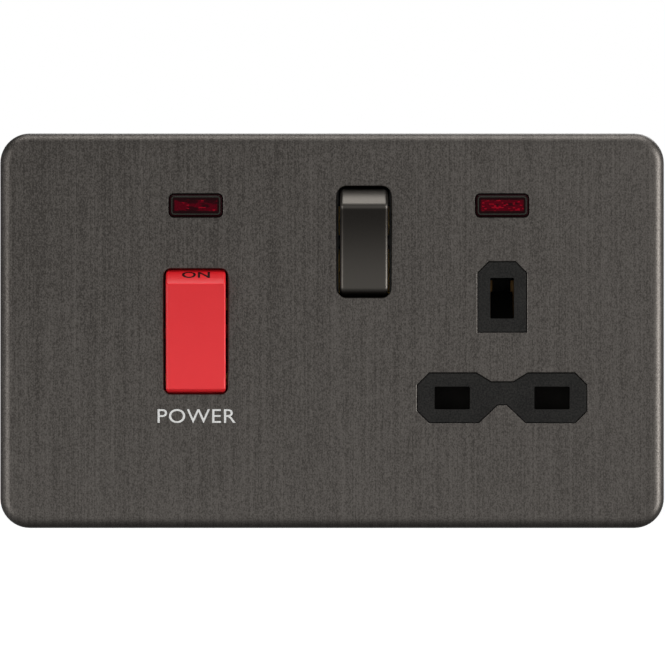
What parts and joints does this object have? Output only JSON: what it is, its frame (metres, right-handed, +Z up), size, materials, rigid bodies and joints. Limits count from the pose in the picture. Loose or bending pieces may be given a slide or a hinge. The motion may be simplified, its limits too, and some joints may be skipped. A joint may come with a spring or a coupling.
{
  "type": "cooker control unit",
  "caption": "Two-gang wall unit with a red double-pole cooker rocker, a switched three-pin socket with shutter, and a neon over each, behind a smoked metal clip-on plate.",
  "frame": {"origin": "middle of the unit on the wall plane, halfway between the two wall-box screws", "axes": "+X to the right seen from the room, +Z up, +Y into the wall; the front faces -Y"},
  "size_m": [0.148, 0.0416, 0.088],
  "materials": {
    "smoked_metal": "vertically brushed metal with a smoked dark plating, satin",
    "black_moulding": "black moulded thermoset, fine satin surface",
    "red_moulding": "red moulded plastic, semi-gloss",
    "smoked_rocker": "dark metallic finish on a rocker, satin",
    "white_nylon": "natural nylon moulding",
    "spring_steel": "drawn spring wire",
    "plated_steel": "bright zinc plating",
    "red_lens": "tinted clear moulding, polished",
    "lamp_glass": "clear glass envelope",
    "resistor_ceramic": "lacquered resistor body",
    "tinned_wire": "tinned copper wire",
    "copper_alloy": "rolled copper alloy strip",
    "brass": "stamped and machined brass"
  },
  "bodies": {
    "root": {"box_screws": "plated_steel", "cooker_neon_lamp": "lamp_glass", "cooker_neon_leads": "tinned_wire", "cooker_neon_lens": "red_lens", "cooker_neon_resistor": "resistor_ceramic", "earth_pin_contact": "brass", "earth_strap": "brass", "earth_terminal": "brass", "front_plate": "smoked_metal", "housing_screws": "plated_steel", "live_pin_contact": "brass", "load_strip_live": "brass", "load_strip_neutral": "brass", "load_terminal_live": "brass", "load_terminal_neutral": "brass", "mounting_frame": "black_moulding", "neutral_pin_contact": "brass", "outlet_neon_lamp": "lamp_glass", "outlet_neon_leads": "tinned_wire", "outlet_neon_lens": "red_lens", "outlet_neon_resistor": "resistor_ceramic", "outlet_strip_live": "brass", "outlet_strip_neutral": "brass", "plate_liner": "black_moulding", "rear_housing": "black_moulding", "shutter_spring": "spring_steel", "socket_insert": "black_moulding", "supply_bar_live": "brass", "supply_bar_neutral": "brass", "supply_terminal_live": "brass", "supply_terminal_neutral": "brass", "terminal_screws": "plated_steel"},
    "cooker_arm_live": {"cooker_arm_live": "copper_alloy"},
    "cooker_arm_neutral": {"cooker_arm_neutral": "copper_alloy"},
    "cooker_rocker": {"cooker_plunger_live": "white_nylon", "cooker_plunger_neutral": "white_nylon", "cooker_plunger_spring_live": "spring_steel", "cooker_plunger_spring_neutral": "spring_steel", "cooker_rocker": "red_moulding"},
    "outlet_arm_live": {"outlet_arm_live": "copper_alloy"},
    "outlet_arm_neutral": {"outlet_arm_neutral": "copper_alloy"},
    "outlet_rocker": {"outlet_plunger_live": "white_nylon", "outlet_plunger_neutral": "white_nylon", "outlet_plunger_spring_live": "spring_steel", "outlet_plunger_spring_neutral": "spring_steel", "outlet_rocker": "smoked_rocker"},
    "shutter": {"shutter": "black_moulding"}
  },
  "joints": [
    {"name": "cooker_rocker_tilt", "type": "hinge", "parent": "root", "child": "cooker_rocker", "pos_m": [-0.03035, 0.0008, -0.00015], "axis": [-1, 0, 0], "range_deg": [0, 15]},
    {"name": "cooker_arm_live_tilt", "type": "hinge", "parent": "root", "child": "cooker_arm_live", "pos_m": [-0.03395, 0.01173, -0.00015], "axis": [1, 0, 0], "range_deg": [0, 18]},
    {"name": "cooker_arm_neutral_tilt", "type": "hinge", "parent": "root", "child": "cooker_arm_neutral", "pos_m": [-0.02675, 0.01173, -0.00015], "axis": [1, 0, 0], "range_deg": [0, 18]},
    {"name": "outlet_rocker_tilt", "type": "hinge", "parent": "root", "child": "outlet_rocker", "pos_m": [0.00713, 0.0008, 0.0198], "axis": [-1, 0, 0], "range_deg": [0, 18]},
    {"name": "outlet_arm_live_tilt", "type": "hinge", "parent": "root", "child": "outlet_arm_live", "pos_m": [0.00443, 0.01173, 0.0198], "axis": [1, 0, 0], "range_deg": [0, 21.6]},
    {"name": "outlet_arm_neutral_tilt", "type": "hinge", "parent": "root", "child": "outlet_arm_neutral", "pos_m": [0.00983, 0.01173, 0.0198], "axis": [1, 0, 0], "range_deg": [0, 21.6]},
    {"name": "shutter_slide", "type": "slide", "parent": "root", "child": "shutter", "axis": [0, 0, -1], "range_m": [0, 0.0062], "stiffness_N_per_m": 150, "springref_m": -0.003, "deforming": ["shutter_spring"]}
  ],
  "couplings": [
    {"joint": "cooker_arm_live_tilt", "follows": "cooker_rocker_tilt", "ratio": 1.2},
    {"joint": "cooker_arm_neutral_tilt", "follows": "cooker_rocker_tilt", "ratio": 1.2},
    {"joint": "outlet_arm_live_tilt", "follows": "outlet_rocker_tilt", "ratio": 1.2},
    {"joint": "outlet_arm_neutral_tilt", "follows": "outlet_rocker_tilt", "ratio": 1.2}
  ]
}
